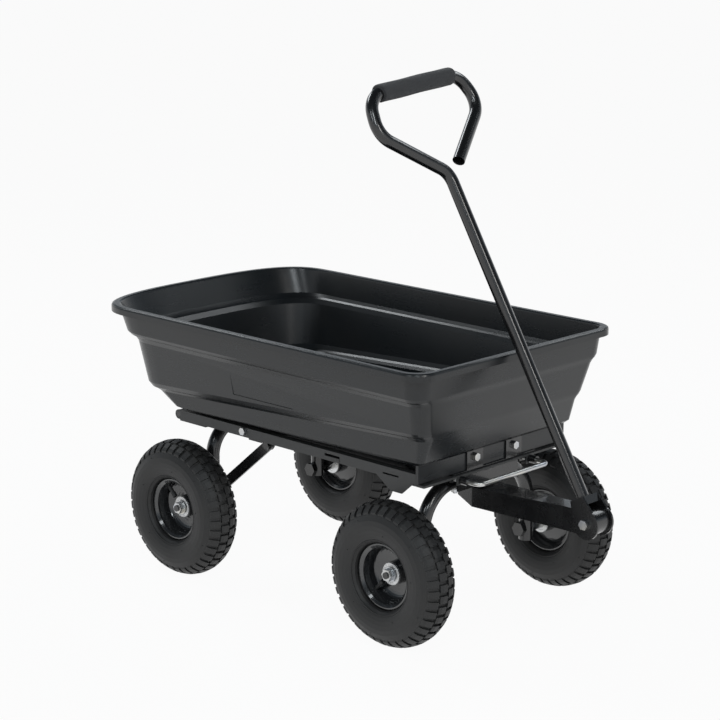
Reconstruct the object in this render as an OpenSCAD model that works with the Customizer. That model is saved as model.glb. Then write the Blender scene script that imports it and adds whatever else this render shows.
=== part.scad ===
// Tipping dump cart: a moulded tub hinged at its tail on a four-wheeled steel chassis,
// steered and pulled by a looped tube handle. Millimetres, +X forward, +Z up,
// origin on the ground under the middle of the overall length.

/* [Overall] */
// Distance between the axles
wheelbase = 542; // [520:1:600]
// Distance between the middles of the left and right tyres
track = 434; // [430:1:470]
// How far the tub's rear lip stands behind the rear axle
tail_reach = 215; // [205:1:225]
// How far the handle yoke stands ahead of the front axle
nose_reach = 289; // [286:1:320]
// Height of the underside of the side rails
rail_z = 289; // [287:1:293]

/* [Wheels] */
// Outside diameter of the tyre
tyre_d = 260; // [250:1:262]
// Width of the tyre over its sidewalls
tyre_w = 78; // [74:1:82]
// Thickness of the tyre's carcass
tyre_wall = 5; // [4:0.5:7]
// Height of the tread blocks
tread_h = 4; // [2:0.5:6]
// Number of tread blocks in each row
tread_blocks = 40; // [24:1:60]
// Outside diameter of the rolled rim lip
rim_d = 118; // [112:1:124]
// Width of the rim over its lips
rim_w = 46; // [44:1:48]
// Thickness of the rim's pressed sheet
rim_gauge = 2.2; // [1.6:0.1:3]
// Outside diameter of the hub tube
hub_d = 42; // [40:1:48]
// Length of the hub tube
hub_l = 38; // [34:1:42]
// How far the hub's outer end stands outboard of the tyre's middle
hub_out = 2; // [0:0.5:6]
// Outside diameter of a hub bearing
bearing_d = 35; // [32:1:37]
// Width of a hub bearing inside the hub
bearing_w = 11; // [9:1:13]
// Diameter of the stub axles
stub_d = 16; // [14:1:18]

/* [Tub] */
// How far the tub's front lip stands ahead of the front axle
tub_nose = 103; // [83:1:109]
// Width of the tub over its rim
tub_w = 530; // [520:1:550]
// Height of the rim's top above the ground
rim_z = 504; // [494:1:510]
// Thickness of the moulded wall
tub_wall = 4; // [3:0.5:5]
// Depth of the rolled rim lip
lip_h = 14; // [10:1:18]
// Thickness of the rolled rim lip
lip_t = 4; // [3:0.5:5]
// How far each side wall leans in from rim to floor
side_draft = 63; // [56:1:66]
// How far the front wall leans in from rim to floor
front_draft = 54; // [50:1:58]
// How far the rear wall leans in from rim to floor, on the centre line
rear_draft = 160; // [150:1:166]
// How far the rear edge of the rim bows out behind its straight sides
rear_bow = 130; // [115:1:140]
// Radius of the rim's front corners in plan
corner_r = 42; // [36:1:60]
// Height of the tub's underside at its tail
base_z = 312; // [311:1:316]
// How much higher the underside stands at its front
base_rise = 13; // [8:1:18]
// How much higher the lower ledge stands at its front
ledge_rise = 31; // [16:1:36]

/* [Chassis] */
// Height of the side rails
rail_h = 18; // [17:1:20]
// Distance from the centre line to the outside of a rail
rail_y = 190; // [186:1:194]
// Thickness of the rails' sheet
rail_gauge = 2.5; // [2:0.25:3]
// Width of the rails' lower flange
rail_flange = 23; // [20:1:26]
// Diameter of the arched axle tubes
axle_tube_d = 26; // [24:1:27]
// Distance from the centre line to an axle leg
leg_y = 140; // [136:1:142]
// Bend radius of the front axle tube
front_bend_r = 75; // [72:1:80]
// Bend radius of the rear axle tube
rear_bend_r = 60; // [50:1:70]
// Width of the diagonal struts
strut_w = 20; // [18:1:24]
// Thickness of the diagonal struts
strut_t = 4; // [3:0.5:5]
// Thickness of the cross-member plates
plate_t = 3; // [2.5:0.5:4]
// Diameter of the tub's hinge rod
hinge_d = 10; // [8:1:11]

/* [Steering] */
// Thickness of the bolster plate
bolster_t = 4; // [3:0.5:5]
// Height of the turntable ring between saddle and bolster
ring_h = 8; // [7.5:0.5:10]
// Diameter of the turntable ring
ring_d = 64; // [50:1:80]
// Thickness of the saddle over the front axle
saddle_t = 3.5; // [3:0.5:5]
// Diameter of the king pin
king_d = 14; // [12:1:15]
// Width of the tongue at its rear
tongue_w = 60; // [56:1:66]
// Width of the tongue's nose
nose_w = 34; // [30:1:38]
// Thickness of the tongue's pressed sheet
tongue_gauge = 3; // [2:0.5:4]

/* [Handle] */
// Height of the handle's pivot
pivot_z = 232; // [228:1:236]
// Diameter of the handle's pivot bolt
pivot_d = 10; // [8:1:12]
// Radius of the yoke's rounded ears
yoke_r = 27; // [24:1:29]
// Thickness of the yoke's ears
ear_t = 4; // [3:0.5:5]
// Diameter of the handle tube
handle_d = 22; // [20:1:24]
// Distance from the pivot to the middle of the grip
handle_l = 802; // [780:1:860]
// How far the resting handle leans back from upright, in degrees
handle_lean = 26.5; // [22:0.5:26.5]
// How far the shaft leans to its right in the yoke, in degrees
handle_skew = 5; // [0:0.5:5.5]
// How far the loop's left elbow stands out from the shaft's line
loop_left = 128; // [120:1:140]
// How far the loop's right elbow stands out from the shaft's line
loop_right = 143; // [135:1:155]
// Length of the foam grip
grip_l = 170; // [140:1:172]
// Diameter of the foam grip
grip_d = 31; // [28:1:36]

/* [Release latch] */
// Diameter of the latch rod
latch_d = 9; // [8:0.5:9.5]
// Width of the latch loop between rod centres
latch_w = 184; // [182:1:188]
// How far the latch loop's bar stands ahead of the front axle
latch_reach = 87; // [85:1:92]

/* [Hidden] */
$fn = 48;
// Overrun of every cut
over = 1;
// Gap between pieces that are seated on each other
seat = 0.3;
// Radial clearance of pins that turn or slide in their bores
run = 0.05;
// Radial clearance of bolts in their holes
slip = 0.1;
// How much a bar thins where it is bent, and how far its straights run into the bends
bend_thin = 0.1;
bend_lap = 0.8;

// Places along the cart
overall_l = tail_reach + wheelbase + nose_reach;
rear_x = -overall_l / 2 + tail_reach;
front_x = rear_x + wheelbase;
tub_rear_x = -overall_l / 2;
tub_front_x = front_x + tub_nose;
pivot_x = front_x + nose_reach - yoke_r;
hub_z = tyre_d / 2;

// Fasteners: shank diameter, width across flats, head height
m6 = [6, 10, 4];
m8 = [8, 13, 5.5];
m12 = [12, 19, 9];
axle_head = [stub_d, 24, 10];
pivot = [pivot_d, 16, 6.5];
king = [king_d, 22, 2.6];
king_nut = [king_d, 22, 9];
washer_t = 2.5;
washer_d = 26;
thread_tail = 2.5;
// A hexagon's corners lie this many times further out than its flats
hex_share = 2 / sqrt(3);

// Wheel section
tyre_r = tyre_d / 2;
tyre_hw = tyre_w / 2;
base_r = tyre_r - tread_h;
belly_r = 92;
crown_power = 2;
arc_steps = 6;
tread_steps = 4;
tread_end_angle = 30;
rim_r = rim_d / 2;
rim_hw = rim_w / 2;
lip_bead_r = 2;
flange_h = 6;
drop_depth = 3;
seat_r = rim_r - flange_h;
drop_r = seat_r - drop_depth;
drop_hw = 6;
drop_slope = 8;
bead_w = 7;
bead_hw = rim_hw - 2 * lip_bead_r - seat;
bead_in = bead_hw - bead_w;
foot_lift = 1.5;
foot_r = rim_r + foot_lift;
foot_hw = rim_hw + foot_lift;
// Part of each pitch that is block, and the edges of the four rows over the tyre's width
block_share = 0.66;
row_shares = [-0.43, -0.215, 0, 0.215, 0.43];
row_gap = 2.4;
tube_gap = 0.6;
tube_wall = 2;
valve_d = 7;
valve_z = 4;
valve_tip_r = 24;
valve_cap_d = 9;
valve_cap_l = 9;
hub_in = hub_out - hub_l;
bearing_flange_w = 2;
bearing_flange_d = bearing_d + 2 * bearing_flange_w;
bearing_flange_t = 1.5;
bearing_race = 2.5;
shield_sink = 0.8;
dish_z = -2;
dish_sink = 12;
dish_t = 3;
dish_steps = 8;
leg_side = track / 2 - leg_y;
spacer_d = 22;
// Turn of each wheel that brings its valve round, in degrees
front_spin = 225;
rear_spin = 135;

// Tub: shares of the drafts, bow and corner radius at each level, from the rim down
side_shares = [0, 0.19, 0.28, 0.46, 0.73, 0.92, 1];
front_shares = [0, 0.22, 0.33, 0.4, 0.63, 0.69, 1];
rear_shares = [0, 0.07, 0.23, 0.33, 0.45, 0.59, 1];
bow_shares = [1, 0.95, 0.83, 0.81, 0.69, 0.57, 0.33];
corner_shares = [1, 0.82, 0.76, 0.69, 0.62, 0.51, 0.25];
upper_ledge_drop = 53;
lower_ledge_lift = 40;
ledge_step = 8;
upper_ledge_z = rim_z - upper_ledge_drop;
lower_ledge_z = base_z + lower_ledge_lift;
tail_power = 3;
corner_steps = 6;
tail_steps = 32;
floor_edge = 7;
wall_soft_share = 0.07;
step_soft_share = 0.32;
skirt_y = 150;
skirt_t = 4;
skirt_gap = 3;
skirt_rear = 46;
apron_y = 195;
apron_t = 6;
apron_inset = 10;
rib_t = 3.5;
rib_drop = 7;
rib_shares = [0.3, 0.44, 0.58, 0.72];
panel_l = 153;
panel_h = 42;
panel_sink = 1.2;
panel_ahead = 239;
panel_below = 32;

// Chassis
rail_top = rail_z + rail_h;
rail_ahead = 32;
rail_front_x = front_x + rail_ahead;
rail_top_flange = 16;
hinge_behind = 39;
hinge_x = rear_x - hinge_behind;
hinge_z = rail_z + rail_h / 2;
rest_ahead = 120;
rest_x = rear_x + rest_ahead;
rest_l = 44;
rest_t = 2.5;
rest_w = 27;
rest_pad_w = 16;
rest_bolt_up = 11;
rest_bolt_z = rail_z + rest_bolt_up;
rail_bolt_l = 9;
slot_l = 38;
slot_h = 5;
slot_up = 10;
slot_behind = 172;
slit_w = 1.5;
low_slot_behind = 30;
low_slot_h = 3;
rear_plate_l = 72;
rear_axle_z = rail_z - plate_t - seat - axle_tube_d / 2;
strap_y = 52;
strap_w = 22;
strap_t = 3;
strap_ear = 17;
strap_lap = 2;
rear_foot = 14;
front_foot = 23;
tube_t = 2;
strut_ahead = 171;
strut_x = rear_x + strut_ahead;
strut_drop = 17;
strut_z = rail_z - strut_drop;
crossbar_l = 34;
lug_t = 3;
lug_drop = 27;
strut_y = leg_y + axle_tube_d / 2 + seat;

// Front bolster and latch guides
bolster_rear = 48;
bolster_front = 46;
cheek_t = 3;
cheek_top = [-64, 22];
cheek_low = [-30, -4];
cheek_drop = 23;
guide_t = 3;
guide_w = 22;
guide_drop = 8;
latch_drop = 5.5;
latch_z = rail_z - bolster_t - latch_drop;
sleeve_d = 15;
sleeve_l = 16;
keeper_ahead = 25;
keeper_x = front_x + keeper_ahead;
keeper_t = 3;
keeper_w = 15;
keeper_drop = 7.5;
keeper_room = 3;

// Latch loop
latch_corner_r = 12;
collar_d = 2 * (latch_drop - slip);
collar_l = 3.5;
latch_tip_ahead = 30;
latch_tip_x = front_x + latch_tip_ahead;

// Catch bracket on the tub's front apron
catch_y = 110;
catch_t = 2.5;
catch_l = 26;
tab_w = 42;
tab_y = 52;
tab_bolt_drop = 12;

// Steering
front_axle_z = rail_z - bolster_t - ring_h - saddle_t - seat - axle_tube_d / 2;
saddle_z = front_axle_z + axle_tube_d / 2 + seat;
saddle_hx = 28;
saddle_hy = 80;
saddle_drop = 22;
saddle_bolt_y = 57;
tongue_rear = 17;
tongue_level = 40;
tongue_neck = 52;
tongue_h = 36;
tongue_cut = 16;
nose_r = 22;
tongue_top = front_axle_z - axle_tube_d / 2 - seat;
tongue_low = tongue_top - tongue_h;
pivot_spacer_d = 16;

// Handle: places sideways from the shaft and along it from the pivot
bridge_hw = 14;
bridge_l = 14;
nose_slope = (pivot_z + nose_r - tongue_top) / (pivot_x - front_x - tongue_level);
bridge_v = (nose_r + seat + bridge_hw * (sin(handle_lean) - nose_slope * cos(handle_lean)))
  / (cos(handle_lean) + nose_slope * sin(handle_lean));
shaft_foot = bridge_v + bridge_l;
ear_gap = 1;
ear_y = nose_w / 2 + ear_gap;
ear_top_hw = 14;
neck_drop = 162;
elbow_drop = 69;
right_elbow_drop = 60;
end_side = 35;
end_drop = 147;
top_left = 115;
top_right = 118;
neck_r = 36;
elbow_r = 41;
top_r = 40;
grip_side = 5;
grip_chamfer = 2.5;
handle_route = [
  [0, shaft_foot + seat + handle_d * sin(handle_skew) / 2], [0, handle_l - neck_drop],
  [-loop_left, handle_l - elbow_drop], [-top_left, handle_l], [top_right, handle_l],
  [loop_right, handle_l - right_elbow_drop], [end_side, handle_l - end_drop]];
handle_bends = [0, neck_r, elbow_r, top_r, top_r, elbow_r, 0];

// Colours
poly_black = [0.16, 0.16, 0.17];
paint_black = [0.07, 0.07, 0.08];
rubber_black = [0.1, 0.1, 0.11];
foam_grey = [0.22, 0.22, 0.23];
zinc = [0.78, 0.79, 0.8];

// Shared shapes

// Hexagon prism by its width across flats
module hex(af, h) cylinder(d = af * hex_share, h = h, $fn = 6);

// Bolt along +Z, its head under z = 0
module bolt(size, l) {
  translate([0, 0, -size[2]]) hex(size[1], size[2]);
  cylinder(d = size[0], h = l);
}

// Ring along +Z
module ring(d, bore, h) difference() {
  cylinder(d = d, h = h);
  translate([0, 0, -over]) cylinder(d = bore, h = h + 2 * over);
}

// Nut along +Z for a bolt of this size
module nut(size) difference() {
  hex(size[1], size[2]);
  translate([0, 0, -over]) cylinder(d = size[0] + 2 * slip, h = size[2] + 2 * over);
}

// Point +Z along +X, or along Y towards a side
module along_x() rotate([0, 90, 0]) children();
module along_y(side) rotate([-90 * side, 0, 0]) children();

// Drawing in the XZ plane, thick along +Y from y
module xz_plate(y, t) translate([0, y + t, 0]) rotate([90, 0, 0]) linear_extrude(t) children();

// Drawing in the YZ plane, thick along +X from x
module yz_plate(x, t) translate([x, 0, 0]) rotate([90, 0, 90]) linear_extrude(t) children();

// Long hole in the drawing plane, round at both ends
module slot(l, h) {
  translate([-l / 2 + h / 2, -h / 2]) square([l - h, h]);
  for (s = [-1, 1]) translate([s * (l - h) / 2, 0]) circle(d = h);
}

// Mirror image for the right side
module on_side(side) mirror([0, side < 0 ? 1 : 0, 0]) children();

function heading(a, b) = atan2(b[1] - a[1], b[0] - a[0]);
function turn(p, i) = let (t = heading(p[i], p[i + 1]) - heading(p[i - 1], p[i]))
  t > 180 ? t - 360 : t < -180 ? t + 360 : t;
function takeoff(p, r, i) = i == 0 || i == len(p) - 1 ? 0 : r[i] * tan(abs(turn(p, i)) / 2);
function along(a, h, l) = [a[0] + l * cos(h), a[1] + l * sin(h)];

// Round bar bent in the XY plane through the corners p, with bend radii r; its straights run a
// little way into the bends, which are drawn thinner by the work of bending
module bent_bar(p, r, d) {
  last = len(p) - 1;
  for (i = [0 : last - 1]) {
    h = heading(p[i], p[i + 1]);
    lead = i == 0 ? 0 : bend_lap;
    trail = i == last - 1 ? 0 : bend_lap;
    l = norm(p[i + 1] - p[i]) - takeoff(p, r, i) - takeoff(p, r, i + 1) + lead + trail;
    a = along(p[i], h, takeoff(p, r, i) - lead);
    translate([a[0], a[1], 0]) rotate([0, 90, h]) cylinder(d = d, h = l);
  }
  for (i = [1 : last - 1]) {
    t = turn(p, i);
    s = sign(t);
    h = heading(p[i - 1], p[i]);
    c = along(along(p[i], h, -takeoff(p, r, i)), h + 90 * s, r[i]);
    translate([c[0], c[1], 0]) rotate([0, 0, h - 90 * s + min(t, 0)])
      rotate_extrude(angle = abs(t)) translate([r[i], 0]) circle(d = d - bend_thin);
  }
}

// Bent tube, open at both ends
module bent_tube(p, r, d, wall) difference() {
  last = len(p) - 1;
  bent_bar(p, r, d);
  bent_bar([for (i = [0 : last]) i == 0 ? along(p[0], heading(p[1], p[0]), over)
    : i == last ? along(p[last], heading(p[last - 1], p[last]), over) : p[i]], r, d - 2 * wall);
}

// Wheels, drawn along +Z with the outboard side up

function power(v, n) = pow(abs(v), 2 / n);
// Crown of a tyre section, from its middle out towards the belly
function crown(hw, top, end_angle, steps) = [for (i = [0 : steps])
  let (a = 90 + (end_angle - 90) * i / steps)
  [belly_r + (top - belly_r) * power(sin(a), crown_power), i == 0 ? 0 : hw * power(cos(a), crown_power)]];
// Sidewall from below the belly in to its foot
function sidewall(hw, r, end_hw) = [for (i = [1 : arc_steps]) let (a = 90 * i / arc_steps)
  [belly_r - (belly_r - r) * sin(a), end_hw + (hw - end_hw) * cos(a)]];
function back(list) = [for (i = [len(list) - 1 : -1 : 0]) list[i]];
// Both halves of a section from its upper half, whose first point is on the middle plane
function both(half) = concat([for (i = [len(half) - 1 : -1 : 1]) [half[i][0], -half[i][1]]], half);

carcass_out = concat(crown(tyre_hw, base_r, 0, arc_steps), sidewall(tyre_hw, foot_r, foot_hw),
  [[foot_r, bead_hw], [seat_r + seat, bead_hw]]);
carcass_in = concat(crown(tyre_hw - tyre_wall, base_r - tyre_wall, 0, arc_steps),
  sidewall(tyre_hw - tyre_wall, foot_r, bead_in), [[seat_r + seat, bead_in]]);
tread_out = crown(tyre_hw + tread_h / 4, tyre_r, tread_end_angle, tread_steps);
tread_in = crown(tyre_hw - tyre_wall / 2, base_r - tyre_wall / 2, tread_end_angle, tread_steps);

// Sectors that hold one row of tread blocks
module block_sectors(phase) polygon([for (i = [0 : tread_blocks - 1])
  let (a = 360 * (i + phase) / tread_blocks, b = a + 360 * block_share / tread_blocks)
  each [belly_r * [cos(a), sin(a)], tyre_d * [cos(a), sin(a)],
        tyre_d * [cos(b), sin(b)], belly_r * [cos(b), sin(b)]]]);

module tyre() color(rubber_black) {
  rotate_extrude() polygon(concat(both(carcass_out), back(both(carcass_in))));
  for (i = [0 : len(row_shares) - 2]) intersection() {
    low = row_shares[i] * tyre_w + row_gap / 2;
    high = row_shares[i + 1] * tyre_w - row_gap / 2;
    rotate_extrude() polygon(concat(both(tread_out), back(both(tread_in))));
    translate([0, 0, low]) linear_extrude(high - low) block_sectors(i % 2 / 2);
  }
}

module inner_tube() color(rubber_black) {
  hw = tyre_hw - tyre_wall - tube_gap;
  top = base_r - tyre_wall - tube_gap;
  foot = seat_r + 2 * tube_gap;
  end_hw = bead_in - 2 * tube_gap;
  difference() {
    rotate_extrude() polygon(both(concat(crown(hw, top, 0, arc_steps), sidewall(hw, foot_r, end_hw),
      [[foot, end_hw]])));
    rotate_extrude() polygon(both(concat(crown(hw - tube_wall, top - tube_wall, 0, arc_steps),
      sidewall(hw - tube_wall, foot_r, end_hw - tube_wall), [[foot + tube_wall, end_hw - tube_wall]])));
  }
  translate([valve_tip_r, 0, valve_z]) along_x() {
    cylinder(d = valve_d, h = foot + tube_wall / 2 - valve_tip_r);
    cylinder(d = valve_cap_d, h = valve_cap_l);
  }
}

// Face of the rim's bowl from the barrel's radius r in to the hub
function bowl(r, sink) = [for (i = [0 : dish_steps]) let (a = 90 * i / dish_steps, r0 = hub_d / 2 - over)
  [r0 + (r - r0) * cos(a), dish_z - sink * sin(a)]];

module rim() color(paint_black) {
  g = rim_gauge;
  inside = rim_hw - 2 * lip_bead_r;
  half = [[drop_r, 0], [drop_r, drop_hw], [seat_r, drop_hw + drop_slope], [seat_r, inside],
    [rim_r - lip_bead_r, inside], [rim_r - lip_bead_r, rim_hw], [seat_r + g, rim_hw], [seat_r - g, inside],
    [seat_r - g, drop_hw + drop_slope + g / 2], [drop_r - g, drop_hw + g / 2], [drop_r - g, 0]];
  outer = [for (i = [0 : 5]) half[i]];
  lining = [for (i = [6 : len(half) - 1]) half[i]];
  difference() {
    union() {
      rotate_extrude() polygon(concat(both(outer), back(both(back(lining)))));
      for (s = [-1, 1]) translate([0, 0, s * (rim_hw - lip_bead_r)])
        rotate_extrude() translate([rim_r - lip_bead_r, 0]) circle(r = lip_bead_r);
    }
    translate([0, 0, valve_z]) along_x() cylinder(d = valve_d + 2 * seat, h = rim_r);
  }
  // Bowl from the barrel down to the hub
  rotate_extrude() polygon(concat(bowl(drop_r - g / 2, dish_sink), back(bowl(drop_r, dish_sink + dish_t))));
  // Hub tube with a seat for a bearing at each end
  difference() {
    translate([0, 0, hub_in]) cylinder(d = hub_d, h = hub_l);
    translate([0, 0, hub_in - over]) cylinder(d = bearing_d - 2 * bearing_race, h = hub_l + 2 * over);
    translate([0, 0, hub_in - over]) cylinder(d = bearing_d, h = bearing_w + over);
    translate([0, 0, hub_out - bearing_w]) cylinder(d = bearing_d, h = bearing_w + over);
  }
}

// Flanged bearing along +Z, its flange seated on the hub's end at z = 0
module bearing() {
  bore = stub_d / 2 + run;
  race = bearing_d / 2 - slip;
  shield = bearing_flange_t - shield_sink;
  rotate_extrude() polygon([[bore, -bearing_w + seat], [race, -bearing_w + seat], [race, seat / 2],
    [bearing_flange_d / 2, seat / 2], [bearing_flange_d / 2, bearing_flange_t],
    [race - bearing_race, bearing_flange_t], [race - bearing_race, shield],
    [bore + bearing_race, shield], [bore + bearing_race, bearing_flange_t], [bore, bearing_flange_t]]);
}

module bearings() color(zinc) {
  translate([0, 0, hub_out]) bearing();
  translate([0, 0, hub_in]) rotate([180, 0, 0]) bearing();
}

// Place of a wheel, or of what is on its axle; spin turns it about the axle
module on_axle(x, side, spin = 0)
  translate([x, side * track / 2, hub_z]) along_y(side) rotate([0, 0, spin]) children();

// Stub axle: head inside the leg, plain shank through the wheel, thread for the nut
module stub_axle() color(paint_black) {
  inner = -leg_side - axle_tube_d / 2 - seat;
  shoulder = hub_out + bearing_flange_t;
  translate([0, 0, inner]) bolt(axle_head, shoulder - inner);
  translate([0, 0, shoulder]) cylinder(d = m12[0], h = 2 * seat + washer_t + m12[2] + thread_tail);
}

module axle_nut() color(zinc) translate([0, 0, hub_out + bearing_flange_t + seat]) {
  ring(washer_d, m12[0] + 2 * slip, washer_t);
  translate([0, 0, washer_t + seat / 2]) nut(m12);
}

// Spacer from the axle leg, with a strut of this thickness on it, to the inner bearing
module axle_spacer(under) color(zinc) {
  from = -leg_side + axle_tube_d / 2 + under + seat;
  translate([0, 0, from]) ring(spacer_d, stub_d + 2 * slip, hub_in - bearing_flange_t - seat - from);
}

// Arched axle tube with cross bores for the stub axles
module axle_tube(x, top, bend, foot) {
  low = hub_z - foot;
  difference() {
    translate([x, 0, 0]) rotate([90, 0, 90]) bent_tube(
      [[-leg_y, low], [-leg_y, top], [leg_y, top], [leg_y, low]], [0, bend, bend, 0], axle_tube_d, tube_t);
    for (s = [-1, 1]) translate([x, s * (leg_y - axle_tube_d), hub_z]) along_y(s)
      cylinder(d = stub_d + 2 * slip, h = 2 * axle_tube_d);
  }
}

// Tub

function level_side(k) = tub_w / 2 - side_draft * side_shares[k];
function level_front(k) = tub_front_x - front_draft * front_shares[k];
function level_rear(k) = tub_rear_x + rear_draft * rear_shares[k];
// Outline of a level: round front corners, straight sides and a bowed tail, inset by e
function outline(k, e) =
  let (hw = level_side(k) - e, xf = level_front(k) - e, xr = level_rear(k) + e,
       r = max(corner_r * corner_shares[k] - e, e), bow = rear_bow * bow_shares[k])
  concat(
    [for (i = [0 : corner_steps]) let (a = 90 * i / corner_steps)
      [xf - r + r * cos(a), hw - r + r * sin(a)]],
    [for (i = [0 : tail_steps]) let (a = 180 * i / tail_steps)
      [xr + bow - bow * power(sin(a), tail_power), hw * power(cos(a), tail_power) * sign(cos(a))]],
    [for (i = [corner_steps : -1 : 0]) let (a = 90 * i / corner_steps)
      [xf - r + r * cos(a), r - hw - r * sin(a)]]);
// How far a level that rises to the front has risen at x
floor_l = level_front(6) - level_rear(6);
function risen(x, by) = by * (x - level_rear(6)) / floor_l;
function under(x) = base_z + risen(x, base_rise);
function loop(k, e, z, by = 0) = [for (p = outline(k, e)) [p[0], p[1], z + risen(p[0], by)]];
function between(a, b, t) = [for (i = [0 : len(a) - 1]) a[i] * (1 - t) + b[i] * t];
// A ledge's corner at b, cut off along the wall from a and along the step to c
function ledge_edge(wall, b, step) = [between(b, wall, wall_soft_share), between(b, step, step_soft_share)];

// Loops of one face of the wall, inset by e and lifted by up, from the floor to under the rim
function wall_face(e, up) =
  let (floor0 = loop(6, e, base_z + 2 * up, base_rise),
       low2 = loop(5, e, lower_ledge_z - ledge_step + up, ledge_rise),
       top2 = loop(4, e, lower_ledge_z + up, ledge_rise),
       low1 = loop(3, e, upper_ledge_z - ledge_step + up),
       top1 = loop(2, e, upper_ledge_z + up),
       head = loop(1, e, rim_z - lip_t))
  concat([loop(6, e + floor_edge, base_z + 2 * up, base_rise), between(floor0, low2, wall_soft_share * 2)],
    ledge_edge(floor0, low2, top2), back(ledge_edge(low1, top2, low2)),
    ledge_edge(top2, low1, top1), back(ledge_edge(head, top1, low1)), [head]);

tub_loops = concat(
  wall_face(0, 0),
  [loop(0, lip_t, rim_z - lip_t), loop(0, lip_t, rim_z - lip_h), loop(0, 0, rim_z - lip_h),
   loop(0, 0, rim_z - lip_t), loop(0, lip_t / 4, rim_z - lip_t / 3), loop(0, lip_t, rim_z),
   loop(1, 0, rim_z), loop(1, tub_wall * 3 / 4, rim_z - lip_t / 3)],
  back(wall_face(tub_wall, tub_wall / 2)));

// Closed skin over a stack of loops, fanned over the first and the last
module skin(loops) {
  n = len(loops[0]);
  m = len(loops);
  function middle(l) = [for (k = [0 : 2]) (min([for (p = l) p[k]]) + max([for (p = l) p[k]])) / 2];
  points = concat([for (l = loops) each l], [middle(loops[0]), middle(loops[m - 1])]);
  faces = concat(
    [for (j = [0 : m - 2], i = [0 : n - 1]) let (a = j * n + i, b = j * n + (i + 1) % n)
      each [[a, a + n, b], [b, a + n, b + n]]],
    [for (i = [0 : n - 1]) [i, (i + 1) % n, m * n]],
    [for (i = [0 : n - 1]) [(m - 1) * n + (i + 1) % n, (m - 1) * n + i, m * n + 1]]);
  polyhedron(points, faces, convexity = 6);
}

// Sunk bare panel in the right wall, between the ledges
function wall_side(x, z) =
  let (top = upper_ledge_z - ledge_step, low = lower_ledge_z + risen(x, ledge_rise))
  level_side(3) + (level_side(4) - level_side(3)) * (top - z) / (top - low);
module panel_recess() {
  x1 = front_x - panel_ahead;
  z1 = upper_ledge_z - panel_below;
  corners = [[x1 - panel_l, z1 - panel_h], [x1, z1 - panel_h], [x1, z1], [x1 - panel_l, z1]];
  points = concat([for (c = corners) [c[0], -wall_side(c[0], c[1]) - over, c[1]]],
    [for (c = corners) [c[0], -wall_side(c[0], c[1]) + panel_sink, c[1]]]);
  polyhedron(points, [[0, 1, 2], [0, 2, 3], [4, 6, 5], [4, 7, 6],
    [0, 5, 1], [0, 4, 5], [1, 6, 2], [1, 5, 6], [2, 7, 3], [2, 6, 7], [3, 4, 0], [3, 7, 4]]);
}

apron_front = level_front(6) - apron_inset;
skirt_z = rail_z + skirt_gap + seat;
bracket_y = 120;
bracket_w = 40;
bracket_t = 3;
bracket_l = 62;
bracket_tail = 12;
knuckle_d = 16;
gusset_share = 0.6;
floor_bolts = [18, 46];
floor_head = [6, 16, 2.5];

module tub() color(poly_black) difference() {
  union() {
    skin(tub_loops);
    skirt_x = hinge_x + skirt_rear;
    for (s = [-1, 1]) xz_plate(s * (skirt_y - skirt_t / 2) - skirt_t / 2, skirt_t)
      polygon([[skirt_x, skirt_z], [apron_front, skirt_z],
        [apron_front, under(apron_front) + tub_wall / 2], [skirt_x, under(skirt_x) + tub_wall / 2]]);
    // Cross ribs between the skirts, and the apron across the front
    for (t = rib_shares) {
      x = level_rear(6) + floor_l * t;
      yz_plate(x, rib_t) translate([-skirt_y + skirt_t / 2, under(x) - rib_drop])
        square([2 * skirt_y - skirt_t, rib_drop + tub_wall / 2]);
    }
    yz_plate(apron_front - apron_t, apron_t) translate([-apron_y, skirt_z])
      square([2 * apron_y, under(apron_front - apron_t) + tub_wall / 2 - skirt_z]);
  }
  panel_recess();
  for (s = [-1, 1]) {
    translate([apron_front - apron_t - over, s * tab_y, under(apron_front) - tab_bolt_drop])
      along_x() cylinder(d = m8[0] + 2 * slip, h = apron_t + 2 * over);
    for (d = floor_bolts) translate([hinge_x + d, s * bracket_y, base_z - over])
      cylinder(d = m6[0] + 2 * slip, h = base_rise + 2 * tub_wall);
  }
}

// Hinge bracket under the tub's floor, its knuckle on the hinge rod
module hinge_bracket(side) color(paint_black) difference() {
  x0 = hinge_x - bracket_tail;
  x1 = x0 + bracket_l;
  plate0 = under(x0) - seat;
  plate1 = under(x1) - seat;
  y = side * bracket_y - bracket_w / 2;
  union() {
    xz_plate(y, bracket_w)
      polygon([[x0, plate0], [x1, plate1], [x1, plate1 - bracket_t], [x0, plate0 - bracket_t]]);
    for (d = [0, bracket_w - bracket_t]) xz_plate(y + d, bracket_t)
      polygon([[x0, plate0 - bracket_t / 2], [x0 + bracket_l * gusset_share, under(x0) - seat - bracket_t / 2],
        [hinge_x + knuckle_d / 2, hinge_z], [hinge_x - knuckle_d / 2, hinge_z]]);
    translate([hinge_x, y, hinge_z]) along_y(1) cylinder(d = knuckle_d, h = bracket_w);
  }
  translate([hinge_x, y - over, hinge_z]) along_y(1) cylinder(d = hinge_d + 2 * run, h = bracket_w + 2 * over);
  for (d = floor_bolts) translate([hinge_x + d, side * bracket_y, hinge_z])
    cylinder(d = m6[0] + 2 * slip, h = 2 * knuckle_d);
}

// Round-headed bolts through the floor, with nuts under the brackets
module hinge_bracket_bolts() color(zinc)
  for (s = [-1, 1], d = floor_bolts) {
    x = hinge_x + d;
    top = under(x) + tub_wall + 2 * seat;
    low = under(x) - bracket_t - 3 * seat;
    translate([x, s * bracket_y, top]) {
      cylinder(d = floor_head[1], h = floor_head[2]);
      translate([0, 0, low - m6[2] - thread_tail - top]) cylinder(d = m6[0], h = top - low + m6[2] + thread_tail);
    }
    translate([x, s * bracket_y, low - m6[2]]) nut(m6);
  }

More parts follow.
